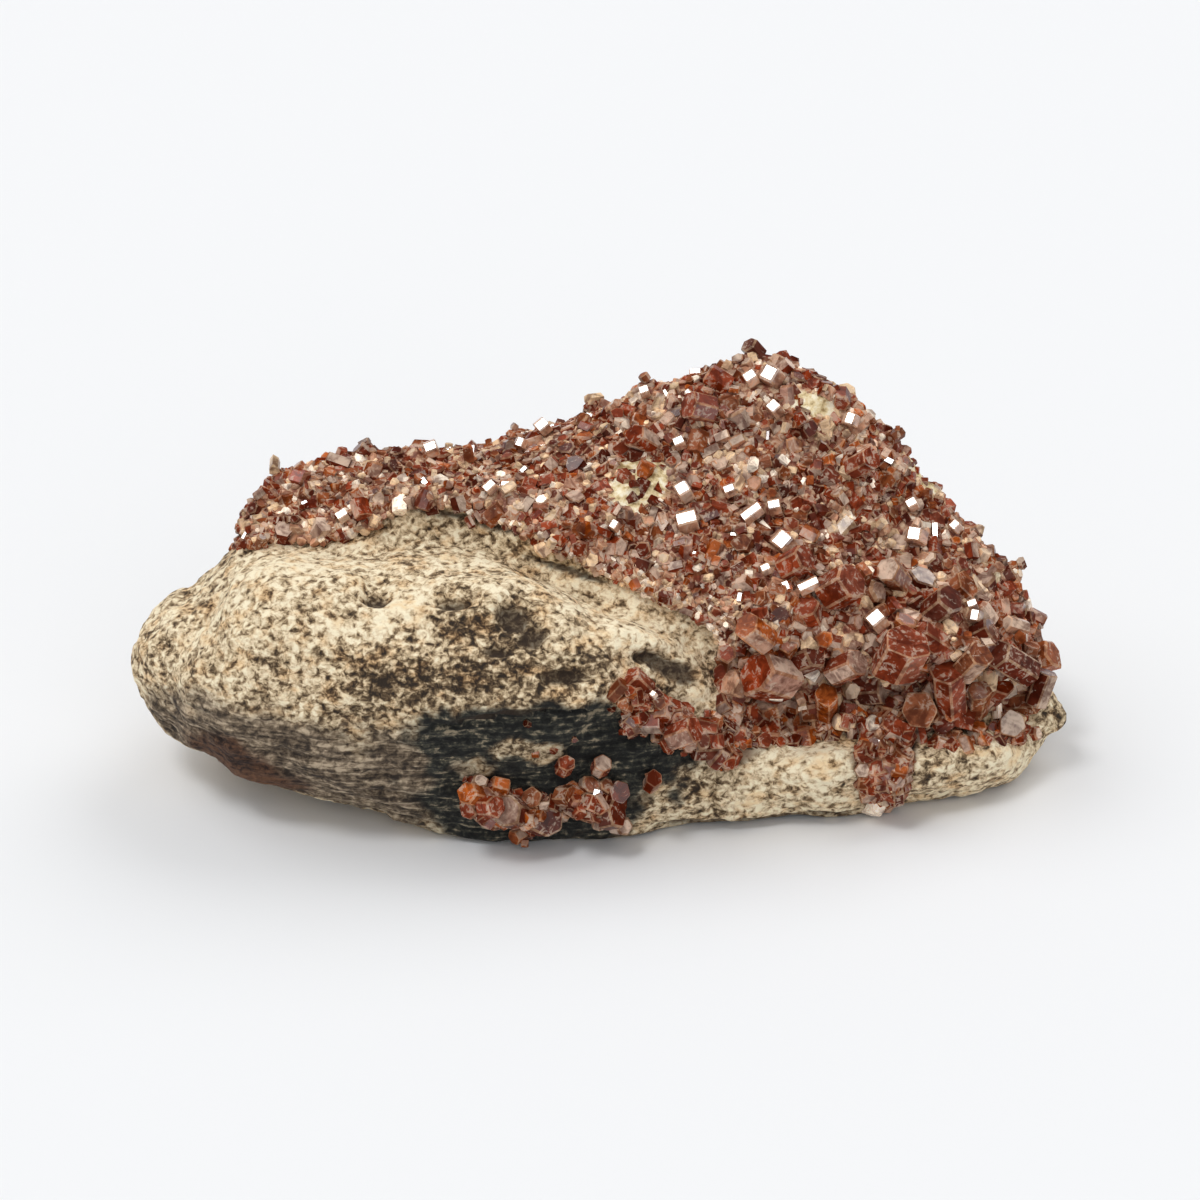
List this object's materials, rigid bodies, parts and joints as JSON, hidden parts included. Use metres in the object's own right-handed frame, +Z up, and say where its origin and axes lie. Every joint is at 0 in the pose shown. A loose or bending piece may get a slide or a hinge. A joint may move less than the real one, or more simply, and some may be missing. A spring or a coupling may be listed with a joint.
{
  "type": "vanadinite specimen in matrix",
  "caption": "Low hand specimen of pale speckled rock whose sloping top bears a crust of small six-sided red-brown crystals, with smaller crystal clusters on its front. Flat resting face.",
  "frame": {"origin": "centre of the bounding box, at the height of the flat face that the rock rests on", "axes": "+X to the right along the specimen, as the picture shows it; +Y away from the viewer; +Z up"},
  "size_m": [0.094, 0.0502, 0.039],
  "materials": {
    "host_rock": "matte, granular, cream to tan with olive-grey specks and a greenish black patch at the foot",
    "vanadinite": "resinous, smooth crystal faces, brown-red to orange-brown, slightly translucent"
  },
  "bodies": {
    "root": {"matrix": "host_rock", "vanadinite_crust": "vanadinite", "front_cluster": "vanadinite", "foot_cluster": "vanadinite", "single_crystal_1": "vanadinite", "single_crystal_2": "vanadinite", "single_crystal_3": "vanadinite"}
  },
  "joints": []
}
